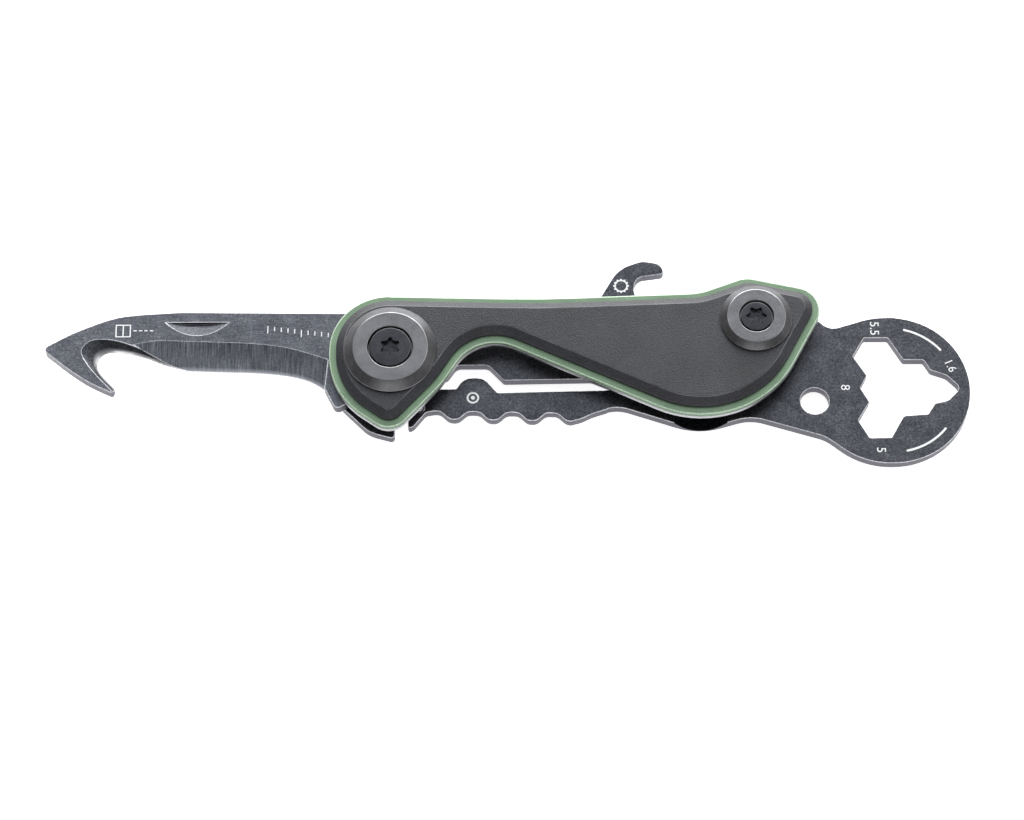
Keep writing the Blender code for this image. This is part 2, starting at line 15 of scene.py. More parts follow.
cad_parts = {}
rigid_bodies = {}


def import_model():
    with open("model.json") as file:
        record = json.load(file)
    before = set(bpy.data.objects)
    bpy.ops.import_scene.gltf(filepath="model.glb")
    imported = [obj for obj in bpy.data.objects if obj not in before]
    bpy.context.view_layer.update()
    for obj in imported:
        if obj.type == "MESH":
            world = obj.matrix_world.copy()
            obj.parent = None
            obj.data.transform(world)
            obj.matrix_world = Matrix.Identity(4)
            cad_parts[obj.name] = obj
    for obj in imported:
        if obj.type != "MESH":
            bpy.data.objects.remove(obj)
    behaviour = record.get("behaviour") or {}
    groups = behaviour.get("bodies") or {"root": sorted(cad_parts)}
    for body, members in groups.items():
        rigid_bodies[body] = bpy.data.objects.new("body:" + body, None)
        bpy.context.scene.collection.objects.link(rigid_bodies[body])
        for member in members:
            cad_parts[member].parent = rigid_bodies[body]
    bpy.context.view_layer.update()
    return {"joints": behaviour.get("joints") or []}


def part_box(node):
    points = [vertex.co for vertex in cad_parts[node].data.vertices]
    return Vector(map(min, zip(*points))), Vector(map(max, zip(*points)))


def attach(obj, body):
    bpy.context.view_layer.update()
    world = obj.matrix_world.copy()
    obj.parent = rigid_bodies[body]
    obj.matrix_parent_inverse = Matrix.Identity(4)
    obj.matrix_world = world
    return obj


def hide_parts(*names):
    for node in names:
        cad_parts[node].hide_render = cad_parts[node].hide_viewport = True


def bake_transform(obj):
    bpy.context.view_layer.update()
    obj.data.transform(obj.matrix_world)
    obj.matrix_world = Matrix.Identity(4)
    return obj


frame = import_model()

MM = 0.001
ARC_STEP = 5.0                       # degrees of turn per segment on rounded corners
ROUND_SIDES = 128                    # sides of the turned parts
PIVOT = Vector(next(j for j in frame["joints"] if j["name"] == "blade_pivot")["pos_m"])
PIVOT.z = 0.0
POST = (49.58, 4.49)                 # rear screw's axis
PIVOT_BORE_R, POST_BORE_R = 2.60, 1.80
STOP_ORBIT = 6.93                    # the stop pin's distance from the pivot's axis
STOP_ANGLE = 113.4                   # and its direction, in degrees from +X
PIN_R, PIN_BORE_R = 1.00, 1.10
FRAME_INSET = 0.45                   # how far the frame plate's edge lies inside the handle's outline


def heights(node):
    low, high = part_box(node)
    return low.z / MM, high.z / MM


def radius_of(node):
    low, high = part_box(node)
    return (high.x - low.x) / 2 / MM


# ---------------------------------------------------------------- outlines, in millimetres

def polar(radius, degrees, x=0.0, y=0.0):
    angle = math.radians(degrees)
    return (x + radius * math.cos(angle), y + radius * math.sin(angle))


def arc(radius, start, end, x=0.0, y=0.0):
    steps = max(2, math.ceil(abs(end - start) / ARC_STEP))
    return [polar(radius, start + (end - start) * i / steps, x, y) for i in range(steps + 1)]


def circle(x, y, radius):
    return arc(radius, 0, 360, x, y)[:-1]


def rounded(corners):
    """Turn (x, y, radius) corners into an outline with an arc at each corner."""
    outline = []
    for i, (x, y, radius) in enumerate(corners):
        here = Vector((x, y))
        back = (Vector(corners[i - 1][:2]) - here).normalized()
        ahead = (Vector(corners[(i + 1) % len(corners)][:2]) - here).normalized()
        turn = math.pi - back.angle(ahead)
        if radius == 0.0 or turn < 0.001:
            outline.append((x, y))
            continue
        reach = radius * math.tan(turn / 2)
        centre = here + (back + ahead).normalized() * (radius / math.cos(turn / 2))
        first = here + back * reach - centre
        side = 1.0 if back.x * ahead.y - back.y * ahead.x < 0.0 else -1.0
        steps = max(2, math.ceil(math.degrees(turn) / ARC_STEP))
        for k in range(steps + 1):
            spoke = first.copy()
            spoke.rotate(Matrix.Rotation(side * turn * k / steps, 2))
            outline.append(tuple(centre + spoke))
    return outline


def inset(corners, distance):
    """Move a clockwise outline's corners inwards, keeping its arcs concentric."""
    moved = []
    count = len(corners)
    for i, (x, y, radius) in enumerate(corners):
        here = Vector((x, y))
        come = (here - Vector(corners[i - 1][:2])).normalized()
        leave = (Vector(corners[(i + 1) % count][:2]) - here).normalized()
        inner_come = Vector((come.y, -come.x))
        inner_leave = Vector((leave.y, -leave.x))
        shift = (inner_come + inner_leave) / (1.0 + inner_come.dot(inner_leave)) * distance
        outward_bend = come.x * leave.y - come.y * leave.x < 0.0
        new_radius = radius - distance if outward_bend else radius + distance
        moved.append((x + shift.x, y + shift.y, max(new_radius, 0.2)))
    return moved


def smooth(points, steps):
    """A Catmull-Rom curve through the points."""
    curve = []
    padded = [points[0]] + points + [points[-1]]
    for i in range(1, len(padded) - 2):
        p0, p1, p2, p3 = (Vector(p) for p in padded[i - 1:i + 3])
        for k in range(steps):
            t = k / steps
            curve.append(tuple(0.5 * (2 * p1 + (p2 - p0) * t + (2 * p0 - 5 * p1 + 4 * p2 - p3) * t * t
                                      + (3 * p1 - p0 - 3 * p2 + p3) * t ** 3)))
    return curve + [points[-1]]


HANDLE_CORNERS = [                   # clockwise from the top left, seen from the front
    (-8.40, 9.00, 8.10),
    (20.00, 8.27, 150.0),
    (42.04, 9.08, 7.50),
    (48.39, 11.45, 3.50),
    (58.35, 9.25, 3.40),
    (58.35, 5.56, 3.20),
    (48.31, -13.41, 14.30),
    (11.81, 3.38, 6.10),
    (7.00, -4.35, 15.0),
    (0.27, -11.76, 3.00),
    (-8.40, -5.69, 10.80),
]
OPENER_CORNERS = [                   # the hook that stands out of the frame's top edge
    (27.15, 7.75, 1.00),
    (31.00, 14.40, 4.50),
    (34.30, 15.80, 3.50),
    (36.90, 15.30, 1.50),
    (37.50, 13.75, 0.50),
    (33.45, 13.20, 1.50),
    (33.20, 11.40, 1.50),
    (33.90, 7.80, 1.00),
]
HEAD = (67.90, -3.87)
HEAD_R = 10.85
HEAD_CORNERS = [                     # neck, round spanner head and the way back to the belly
    (57.90, 8.79, 1.60),
    (57.90, 7.00, 0.50),
    (59.95, 5.12, 2.20),
    (65.90, 6.98, HEAD_R),
    (HEAD[0] + HEAD_R, 6.98, HEAD_R),
    (HEAD[0] + HEAD_R, HEAD[1] - HEAD_R, HEAD_R),
    (63.86, HEAD[1] - HEAD_R, 10.50),
    (58.85, -10.80, 5.00),
    (48.80, -7.75, 6.00),
    (41.70, -9.85, 10.30),
    (30.70, -6.15, 4.90),
]
ROOT_X = 29.0
ROOT_LAP = 0.35                      # how far the lock bar runs on into the frame at its root
SLOT_CORNERS = [                     # frame's side of the slot that frees the lock bar
    (ROOT_X - ROOT_LAP, -6.80, 0.0),
    (ROOT_X - ROOT_LAP, -3.86, 0.0),
    (30.60, -3.62, 0.30),
    (27.20, -2.15, 1.50),
    (15.30, -2.33, 0.50),
    (13.15, -0.02, 1.20),
    (8.90, -0.02, 1.20),
    (7.60, -1.90, 0.50),
    (4.90, -1.90, 1.00),
    (0.52, -5.40, 1.00),
]
HEEL_CORNERS = [                     # frame's lower left, just outside the handle
    (0.52, -10.95, 0.45),
    (-3.00, -9.95, 4.00),
    (-7.95, -5.00, 6.00),
]
LOCK_BAR_TOP = [                     # lock bar's side of the slot, from its root to its tip
    (ROOT_X + ROOT_LAP, -3.83, 0.0),
    (14.45, -4.16, 0.60),
    (12.55, -1.93, 2.00),
    (9.85, -1.93, 2.00),
    (8.85, -3.56, 0.40),
    (5.55, -3.57, 1.00),
    (2.32, -6.25, 0.60),
    (2.32, -9.55, 0.30),
    (3.15, -9.05, 0.50),
    (4.75, -7.02, 0.90),
]
SPANNER_CORNERS = [                  # the 5.5, 8 and 5 mm hexagons and the driver slot, as one opening
    (64.58, 3.88, 0.40),
    (67.82, 3.88, 0.40),
    (69.80, 0.56, 0.40),
    (72.55, 0.56, 0.45),
    (73.45, -1.00, 0.60),
    (75.60, -1.75, 2.00),
    (77.45, -3.65, 0.80),
    (75.60, -5.55, 1.60),
    (73.85, -5.90, 0.50),
    (72.85, -7.50, 0.45),
    (69.55, -7.75, 0.45),
    (67.71, -10.97, 0.40),
    (64.79, -10.97, 0.40),
    (63.33, -8.45, 0.40),
    (64.96, -5.68, 0.20),
    (63.79, -3.60, 0.50),
    (64.76, -1.76, 0.20),
    (62.97, 1.08, 0.40),
]
LANYARD = (57.53, -5.52, 1.94)       # centre and radius of the round hole
WAVE_PITCH, WAVE_HEIGHT, WAVE_START, WAVES = 5.30, 0.66, 5.90, 3.5
WAVE_POINTS = 24                     # points per wave
WAVE_LEVEL, WAVE_FALL = -7.39, 0.022  # middle line at the first wave, and its fall per millimetre
SECOND_SHARE, THIRD_SHARE = 0.06, 0.09  # overtones that blunt the waves
WAVES_TO_ROOT = [(26.0, -7.98), (27.4, -7.30), (ROOT_X + ROOT_LAP, -6.66)]


def frame_outline():
    body = inset(HANDLE_CORNERS, FRAME_INSET)
    top_left, top_middle, rise, peak = body[:4]
    corners = [top_left, top_middle] + OPENER_CORNERS + [rise, peak] + HEAD_CORNERS
    corners += SLOT_CORNERS + HEEL_CORNERS
    return rounded(corners)


def lock_bar_outline():
    """Blunt finger waves below, whose mean line drops to the root, and the slot's edge above."""
    steps = int(WAVES * WAVE_POINTS)
    waves = []
    for i in range(steps + 1):
        along = WAVE_PITCH * WAVES * i / steps
        phase = 2 * math.pi * along / WAVE_PITCH
        shape = math.cos(phase) - SECOND_SHARE * math.cos(2 * phase) - THIRD_SHARE * math.cos(3 * phase)
        waves.append((WAVE_START + along, WAVE_LEVEL - WAVE_FALL * along + WAVE_HEIGHT * shape))
    beyond = [(WAVE_START, -6.83, 0.0), (ROOT_X + ROOT_LAP, -6.75, 0.0)]  # these only steer the last arc
    outline = rounded(LOCK_BAR_TOP + beyond)[:-2] + waves[:-1] + smooth(waves[-1:] + WAVES_TO_ROOT, 5)
    return divided(outline, longest=0.6)


def divided(outline, longest):
    """Add points so that no side is longer than `longest`, for a piece that has to bend."""
    points = []
    for (x, y), (next_x, next_y) in zip(outline, outline[1:] + outline[:1]):
        count = max(1, math.ceil(math.hypot(next_x - x, next_y - y) / longest))
        points += [(x + (next_x - x) * i / count, y + (next_y - y) * i / count) for i in range(count)]
    return points


# ---------------------------------------------------------------- meshes

def mesh_of(shape, name, place=Matrix.Identity(4)):
    bmesh.ops.recalc_face_normals(shape, faces=shape.faces)
    if shape.calc_volume(signed=True) < 0.0:
        bmesh.ops.reverse_faces(shape, faces=shape.faces)
    shape.transform(place)
    mesh = bpy.data.meshes.new(name)
    shape.to_mesh(mesh)
    shape.free()
    return mesh


def applied(name, source):
    """The source object's evaluated mesh, welded shut, with the source removed."""
    bpy.context.scene.collection.objects.link(source)
    evaluated = source.evaluated_get(bpy.context.evaluated_depsgraph_get())
    raw = bpy.data.meshes.new_from_object(evaluated)
    bpy.data.batch_remove([source, source.data])
    shape = bmesh.new()
    shape.from_mesh(raw)
    bmesh.ops.remove_doubles(shape, verts=shape.verts, dist=0.0000005)
    loose = [edge for edge in shape.edges if not edge.link_faces]
    bmesh.ops.delete(shape, geom=loose, context="EDGES")
    materials = list(raw.materials)
    bpy.data.meshes.remove(raw)
    mesh = mesh_of(shape, name)
    for material in materials:
        mesh.materials.append(material)
    return mesh


def filled_curve(name, rings, half_thickness):
    """A flat curve filled between closed rings, thickened both ways from z = 0."""
    curve = bpy.data.curves.new(name, "CURVE")
    curve.dimensions = "2D"
    curve.fill_mode = "BOTH"
    curve.extrude = half_thickness * MM
    for ring in rings:
        spline = curve.splines.new("POLY")
        spline.points.add(len(ring) - 1)
        spline.use_cyclic_u = True
        for point, (x, y) in zip(spline.points, ring):
            point.co = (x * MM, y * MM, 0.0, 1.0)
    return curve


def plate(name, outline, low, top, rim, holes=()):
    """A plate from `low` to `top` whose outer edges and holes are rounded by `rim`."""
    curve = filled_curve(name, [outline, *holes], (top - low) / 2 - rim)
    curve.bevel_depth = rim * MM
    curve.bevel_resolution = 2
    curve.offset = -rim * MM
    mesh = applied(name, bpy.data.objects.new(name, curve))
    mesh.transform(Matrix.Translation(PIVOT + Vector((0.0, 0.0, (top + low) / 2 * MM))))
    return mesh


def loft(name, sections):
    """Skin closed rings of equal length, each a list of (x, y, z), and cap both ends."""
    shape = bmesh.new()
    rings = [[shape.verts.new([value * MM for value in point]) for point in ring] for ring in sections]
    size = len(rings[0])
    for near, far in zip(rings, rings[1:]):
        for i in range(size):
            j = (i + 1) % size
            shape.faces.new((near[i], near[j], far[j], far[i]))
    shape.faces.new(rings[0][::-1])
    shape.faces.new(rings[-1])
    shape.normal_update()
    bmesh.ops.triangulate(shape, faces=[face for face in shape.faces if len(face.verts) > 4])
    return mesh_of(shape, name, Matrix.Translation(PIVOT))


def turned(name, corners, sides=ROUND_SIDES):
    """Turn a closed profile of (radius, z, fillet) corners round the Z axis."""
    profile = rounded(corners)
    outline = bpy.data.meshes.new(name)
    edges = [(i, (i + 1) % len(profile)) for i in range(len(profile))]
    outline.from_pydata([(max(r, 0.0) * MM, 0.0, z * MM) for r, z in profile], edges, [])
    source = bpy.data.objects.new(name, outline)
    screw = source.modifiers.new("turn", "SCREW")
    screw.steps = screw.render_steps = sides
    screw.use_merge_vertices = True
    screw.merge_threshold = 0.000001
    return applied(name, source)


def linked(name, data):
    """A new object in the scene."""
    obj = bpy.data.objects.new(name, data)
    bpy.context.scene.collection.objects.link(obj)
    return obj


def rod(name, radius, low, top, x=0.0, y=0.0, sides=ROUND_SIDES):
    shape = bmesh.new()
    bmesh.ops.create_cone(shape, cap_ends=True, segments=sides, radius1=radius * MM, radius2=radius * MM,
                          depth=(top - low) * MM)
    return mesh_of(shape, name, Matrix.Translation((x * MM, y * MM, (top + low) / 2 * MM)))


def cut(mesh, cutters):
    """Take (mesh, material index) cutters out of a mesh; each leaves its material on its faces."""
    part = bpy.data.objects.new(mesh.name, mesh)
    made = []
    for cutter, index in cutters:
        for material in mesh.materials:
            cutter.materials.append(material)
        for polygon in cutter.polygons:
            polygon.material_index = index
        tool = linked(cutter.name, cutter)
        boolean = part.modifiers.new(cutter.name, "BOOLEAN")
        boolean.operation = "DIFFERENCE"
        boolean.solver = "EXACT"
        boolean.object = tool
        made += [tool, cutter]
    finished = applied(mesh.name, part)
    bpy.data.batch_remove(made)
    return finished


def piece(name, mesh, material, body, nodes, place=None, turn=0.0, crease=30.0):
    """Add a finished mesh to the scene, riding a CAD body in place of CAD nodes."""
    if material is not None:
        mesh.materials.clear()
        mesh.materials.append(material)
    mesh.shade_smooth()
    mesh.set_sharp_from_angle(angle=math.radians(crease))
    obj = linked(name, mesh)
    if place is not None:
        obj.location = PIVOT + Vector(place) * MM
        obj.rotation_euler.z = math.radians(turn)
    weighted = obj.modifiers.new("weighted normals", "WEIGHTED_NORMAL")
    weighted.keep_sharp = True
    weighted.weight = 100
    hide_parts(*nodes)
    if body is not None:
        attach(obj, body)
    return obj


# ---------------------------------------------------------------- materials

class Shader:
    """One Principled material made of procedural nodes, in object coordinates in millimetres."""

    def __init__(self, name, **fixed):
        self.material = bpy.data.materials.new(name)
        self.material.use_nodes = True
        self.tree = self.material.node_tree
        self.surface = self.tree.nodes["Principled BSDF"]
        for socket, value in fixed.items():
            self.surface.inputs[socket.replace("_", " ")].default_value = value
        self.texture = self.node("ShaderNodeTexCoord")
        self.geometry = self.node("ShaderNodeNewGeometry")

    def node(self, kind, inputs=(), **settings):
        made = self.tree.nodes.new(kind)
        for key, value in settings.items():
            setattr(made, key, value)
        for key, value in dict(inputs).items():
            if isinstance(value, bpy.types.NodeSocket):
                self.tree.links.new(value, made.inputs[key])
            else:
                made.inputs[key].default_value = value
        return made

    def place(self, size, turn=0.0):
        """Coordinates that count in cells of `size` millimetres, with their grain turned."""
        mapping = self.node("ShaderNodeMapping", {
            "Vector": self.texture.outputs["Object"],
            "Rotation": (0.0, 0.0, math.radians(turn)),
            "Scale": [length * MM for length in size],
        }, vector_type="TEXTURE")
        return mapping.outputs["Vector"]

    def noise(self, size, detail=3.0, rough=0.6, turn=0.0, warp=0.0):
        size = size if isinstance(size, tuple) else (size, size, size)
        return self.node("ShaderNodeTexNoise", {
            "Vector": self.place(size, turn), "Scale": 1.0, "Detail": detail, "Roughness": rough,
            "Distortion": warp,
        }).outputs["Fac"]

    def span(self, value, start, end, low=0.0, high=1.0):
        """Carry start..end over to low..high, with both ends held."""
        return self.node("ShaderNodeMapRange", {
            "Value": value, "From Min": start, "From Max": end, "To Min": low, "To Max": high,
        }).outputs["Result"]

    def sum(self, *terms):
        """Weighted sum of (value, weight) terms."""
        total = None
        for value, weight in terms:
            scaled = self.math("MULTIPLY", value, weight)
            total = scaled if total is None else self.math("ADD", total, scaled)
        return total

    def math(self, operation, first, second=0.0):
        return self.node("ShaderNodeMath", {0: first, 1: second}, operation=operation).outputs[0]

    def colours(self, value, *stops):
        """A colour ramp through (position, (r, g, b)) stops."""
        ramp = self.node("ShaderNodeValToRGB", {"Fac": value})
        elements = ramp.color_ramp.elements
        while len(elements) < len(stops):
            elements.new(0.5)
        for element, (position, colour) in zip(elements, stops):
            element.position = position
            element.color = (*colour, 1.0)
        return ramp.outputs["Color"]

    def mix(self, factor, first, second):
        made = self.node("ShaderNodeMix", {"Factor": factor}, data_type="RGBA")
        for index, value in ((6, first), (7, second)):
            if isinstance(value, bpy.types.NodeSocket):
                self.tree.links.new(value, made.inputs[index])
            else:
                made.inputs[index].default_value = (*value, 1.0)
        return made.outputs[2]

    def edge_rub_and_highlight(self, radius, flat=0.985, sharpest=0.80, samples=8):
        """1 where the surface turns a corner within `radius` millimetres, fading to 0 on flats."""
        bevel = self.node("ShaderNodeBevel", {"Radius": radius * MM}, samples=samples)
        match = self.node("ShaderNodeVectorMath", {0: bevel.outputs["Normal"],
                                                   1: self.geometry.outputs["Normal"]},
                          operation="DOT_PRODUCT").outputs["Value"]
        return self.span(match, flat, sharpest)

    def steepness(self):
        """|z| of the surface's normal: 1 on faces that look along Z, 0 on walls."""
        normal = self.node("ShaderNodeSeparateXYZ", {0: self.texture.outputs["Normal"]})
        return self.math("ABSOLUTE", normal.outputs["Z"])

    def rims(self, *bands):
        """1 where the steepness lies in a (start, full from, full to, end) band, as it does on a rim."""
        total = None
        for start, full_from, full_to, end in bands:
            rising = self.span(self.steepness(), start, full_from)
            band = self.math("MULTIPLY", rising, self.span(self.steepness(), end, full_to))
            total = band if total is None else self.math("MAXIMUM", total, band)
        return total

    def distance_from_level(self, level):
        """Height above or below a level, in millimetres."""
        place = self.node("ShaderNodeSeparateXYZ", {0: self.texture.outputs["Object"]})
        height = self.math("MULTIPLY", place.outputs["Z"], 1.0 / MM)
        return self.math("ABSOLUTE", self.math("SUBTRACT", height, level))

    def from_axis(self):
        """Distance from the piece's own Z axis, in metres."""
        flat = self.node("ShaderNodeVectorMath", {0: self.texture.outputs["Object"], 1: (1.0, 1.0, 0.0)},
                         operation="MULTIPLY")
        return self.node("ShaderNodeVectorMath", {0: flat.outputs["Vector"]},
                         operation="LENGTH").outputs["Value"]

    def finish(self, colour, roughness, height=None, depth=0.01, strength=1.0):
        for socket, value in (("Base Color", colour), ("Roughness", roughness)):
            self.tree.links.new(value, self.surface.inputs[socket])
        if height is not None:
            bump = self.node("ShaderNodeBump", {"Height": height, "Distance": depth * MM,
                                                "Strength": strength})
            self.tree.links.new(bump.outputs["Normal"], self.surface.inputs["Normal"])
        return self.material


PLATE_RIM = (0.12, 0.30, 0.94, 0.985)
SCALE_RIM = (0.845, 0.875, 0.955, 0.988)
ACCENT_RIM = (0.30, 0.55, 0.94, 0.985)
TURNED_RIMS = ((0.815, 0.84, 0.965, 0.990), (0.12, 0.30, 0.68, 0.75))
OXIDE_SHADES = ((0.36, (0.018, 0.019, 0.023)), (0.46, (0.048, 0.050, 0.058)),
                (0.54, (0.088, 0.091, 0.102)), (0.66, (0.210, 0.213, 0.228)))
# The second grey lightens upright walls as a painted reflection of the bright floor.
SCRATCH_GREY, PAINTED_WALL_SHEEN = (0.22, 0.22, 0.235), (0.120, 0.117, 0.142)
# Rim and fold colours are partly rubbed bare steel and partly a painted highlight along the edges.
RIM_RUB_AND_HIGHLIGHT, FOLD_RUB_AND_HIGHLIGHT, BARE_STEEL = (0.80, 0.80, 0.83), (0.62, 0.62, 0.645), (0.62, 0.62, 0.635)
SCRATCHES = ((24.0, 1.6), (-37.0, 1.1), (81.0, 1.3))  # direction in degrees, and length
SCRATCH_WIDTH = 0.045


def stonewashed(name, tint=1.0, grain=(2.2, 0.09, 0.3), grain_share=0.08, rim=None, fold=None, bare=None):
    """Black stonewashed steel: a tumbled dark oxide with scratches and bare ground edges; rims and folds are
    lightened partly by rubbing and partly as a painted highlight, and walls as a painted reflection of the
    floor.
    """
    s = Shader(name, Metallic=1.0, Anisotropic=0.2)
    speck = s.noise(0.11, detail=2.0, rough=0.75)
    pits = s.noise(0.26, rough=0.70, warp=0.5)
    cloud = s.noise(2.6)
    brushed = s.noise(grain, rough=0.75)
    rest = 1.0 - grain_share
    tone = s.sum((speck, 0.44 * rest), (pits, 0.40 * rest), (cloud, 0.16 * rest), (brushed, grain_share))
    shades = ((place, tuple(value * tint for value in shade)) for place, shade in OXIDE_SHADES)
    colour = s.colours(tone, *shades)
    scratch = None
    for turn, length in SCRATCHES:
        grooves = s.noise((length, SCRATCH_WIDTH, 0.3), detail=1.0, rough=0.4, turn=turn)
        line = s.span(grooves, 0.66, 0.76)
        scratch = line if scratch is None else s.math("MAXIMUM", scratch, line)
    colour = s.mix(s.math("MULTIPLY", scratch, 0.35), colour, SCRATCH_GREY)
    # Walls are mixed towards a lighter, purplish grey: a painted reflection of the bright floor.
    walls = s.span(s.steepness(), 0.75, 0.25)
    colour = s.mix(s.math("MULTIPLY", walls, 0.70), colour, PAINTED_WALL_SHEEN)
    roughness = s.sum((tone, 0.36), (speck, 0.10))
    patchy = s.span(pits, 0.30, 0.55, 0.35, 1.0)
    # Rims and folds are lightened: partly rubbing, partly a painted highlight.
    if rim is not None:
        rub_and_highlight = s.math("MULTIPLY", s.rims(rim), patchy)
        colour = s.mix(rub_and_highlight, colour, RIM_RUB_AND_HIGHLIGHT)
        roughness = s.math("ADD", roughness, s.math("MULTIPLY", rub_and_highlight, 0.22))
    if fold is not None:
        rub_and_highlight = s.math("MULTIPLY", s.edge_rub_and_highlight(*fold), patchy)
        colour = s.mix(rub_and_highlight, colour, FOLD_RUB_AND_HIGHLIGHT)
    if bare is not None:
        level, start, end, share = bare
        ground = s.math("MULTIPLY", s.span(s.distance_from_level(level), start, end), share)
        colour = s.mix(ground, colour, BARE_STEEL)
        roughness = s.math("SUBTRACT", roughness, s.math("MULTIPLY", ground, 0.10))
    roughness = s.math("ADD", roughness, 0.18)
    height = s.sum((speck, 0.6), (pits, 0.6), (brushed, 1.2 * grain_share), (scratch, -0.5))
    return s.finish(colour, roughness, height, depth=0.007, strength=0.9)


def pebbled_plastic():
    """Black moulded plastic with a fine, irregular pebble grain, and rims rubbed paler and glossier, partly
    real and partly a painted highlight.
    """
    s = Shader("scale_black", Metallic=0.0, Specular_IOR_Level=0.55)
    pebble = s.node("ShaderNodeTexVoronoi", {
        "Vector": s.place((0.19, 0.19, 0.19)), "Scale": 1.0, "Smoothness": 0.5, "Randomness": 1.0,
    }, feature="SMOOTH_F1").outputs["Distance"]
    lumps = s.noise(0.22, warp=0.8)
    cloud = s.noise(6.0, detail=2.0)
    height = s.sum((pebble, -0.9), (lumps, 1.3))
    tone = s.sum((lumps, 0.55), (pebble, -0.35), (cloud, 0.35))
    colour = s.colours(tone, (0.12, (0.002, 0.002, 0.004)), (0.42, (0.021, 0.022, 0.030)))
    # Lighter rims: partly rubbing, partly a painted highlight along the face's edge.
    polish_and_highlight = (0.15, 0.15, 0.165)
    rub_and_highlight = s.math("MULTIPLY", s.rims(SCALE_RIM), s.span(cloud, 0.35, 0.65, 0.25, 1.0))
    colour = s.mix(rub_and_highlight, colour, polish_and_highlight)
    roughness = s.math("ADD", s.sum((lumps, 0.24), (rub_and_highlight, -0.08)), 0.36)
    return s.finish(colour, roughness, height, depth=0.045)


def green_anodised():
    """Satin grey-green plate with a faint speckle and edges paled by a painted highlight."""
    s = Shader("accent_green", Metallic=0.25)
    speck = s.noise(0.15, rough=0.75)
    cloud = s.noise(3.0, detail=2.0)
    tone = s.sum((speck, 0.75), (cloud, 0.25))
    colour = s.colours(tone, (0.34, (0.096, 0.162, 0.092)), (0.50, (0.141, 0.224, 0.135)),
                       (0.68, (0.210, 0.310, 0.202)))
    # Paler rims: a painted highlight of light caught on the rounded edges.
    painted_rim_highlight = (0.62, 0.78, 0.60)
    rub_and_highlight = s.math("MULTIPLY", s.rims(ACCENT_RIM), s.span(speck, 0.3, 0.6, 0.3, 1.0))
    colour = s.mix(s.math("MULTIPLY", rub_and_highlight, 0.9), colour, painted_rim_highlight)
    roughness = s.math("ADD", s.math("MULTIPLY", speck, 0.22), 0.32)
    return s.finish(colour, roughness, speck, depth=0.008, strength=0.8)


def drawn_steel(name, shade, tone_span=0.35, rough=0.26):
    """Bare or lightly blackened steel with a fine drawn grain along X and a painted highlight on its edges.
    """
    s = Shader(name, Metallic=1.0)
    grain = s.noise((2.5, 0.09, 0.09), rough=0.7)
    speck = s.noise(0.22, detail=2.0)
    tone = s.sum((grain, 0.6), (speck, 0.4))
    low = tuple(value * (1.0 - tone_span) for value in shade)
    high = tuple(min(1.0, value * (1.0 + tone_span)) for value in shade)
    colour = s.colours(tone, (0.35, low), (0.65, high))
    # Edges are lightened: a painted highlight.
    painted_edge_highlight = (0.72, 0.72, 0.73)
    colour = s.mix(s.math("MULTIPLY", s.edge_rub_and_highlight(0.08), 0.5), colour, painted_edge_highlight)
    roughness = s.math("ADD", s.math("MULTIPLY", tone, 0.22), rough)
    return s.finish(colour, roughness, tone, depth=0.004, strength=0.5)


def turned_steel(name, shade, rim_colour_and_highlight, ring=0.07, rough=0.26):
    """Lathe-turned steel: fine rings round the axis, bright at its corners, partly rubbed and partly a
    painted highlight.
    """
    s = Shader(name, Metallic=1.0, Anisotropic=0.35)
    radial = s.node("ShaderNodeCombineXYZ", {0: s.math("MULTIPLY", s.from_axis(), 1.0 / (ring * MM))})
    rings = s.node("ShaderNodeTexNoise", {"Vector": radial.outputs[0], "Scale": 1.0, "Detail": 3.0,
                                          "Roughness": 0.7}).outputs["Fac"]
    speck = s.noise(0.15, detail=2.0, rough=0.7)
    cloud = s.noise(1.8)
    tone = s.sum((rings, 0.38), (speck, 0.34), (cloud, 0.28))
    low, high = (tuple(value * scale for value in shade) for scale in (0.55, 1.50))
    colour = s.colours(tone, (0.34, low), (0.66, high))
    # Corners are lightened: partly rubbing, partly a painted highlight on the rims.
    rub_and_highlight = s.math("MULTIPLY", s.rims(*TURNED_RIMS), s.span(cloud, 0.25, 0.6, 0.55, 1.0))
    colour = s.mix(rub_and_highlight, colour, rim_colour_and_highlight)
    roughness = s.math("ADD", s.sum((tone, 0.24), (rub_and_highlight, -0.08)), rough)
    height = s.sum((rings, 1.0), (speck, 0.4))
    return s.finish(colour, roughness, height, depth=0.004, strength=0.7)


def print_white():
    """Laser-bleached size marks, slightly broken by the plate's grain."""
    s = Shader("print_white", Metallic=0.0)
    speck = s.noise(0.12, detail=2.0, rough=0.7)
    colour = s.colours(speck, (0.28, (0.46, 0.46, 0.47)), (0.42, (0.78, 0.78, 0.78)))
    return s.finish(colour, s.math("ADD", s.math("MULTIPLY", speck, 0.2), 0.5))


def floor_white():
    s = Shader("floor_white", Emission_Color=(1.0, 1.0, 1.0, 1.0), Emission_Strength=0.85)
    cloud = s.noise(60.0, detail=2.0)
    colour = s.colours(cloud, (0.3, (0.885, 0.885, 0.89)), (0.7, (0.90, 0.90, 0.90)))
    return s.finish(colour, s.span(cloud, 0.0, 1.0, 0.78, 0.86))


# Grind-line mask for the blade, lightened partly by rubbing and partly as a painted highlight.
BLADE_FOLD = (0.15, 0.9995, 0.995)
BLADE_MIDDLE = sum(heights("blade")) / 2
# The blade's steel is tinted lighter than the frame's: painted light, a lighting gradient across the tool.
# The hook's bevel is tinted darker than the blade: painted shade on its steep face.
STEEL = stonewashed("stonewashed_steel", tint=0.70, rim=PLATE_RIM)
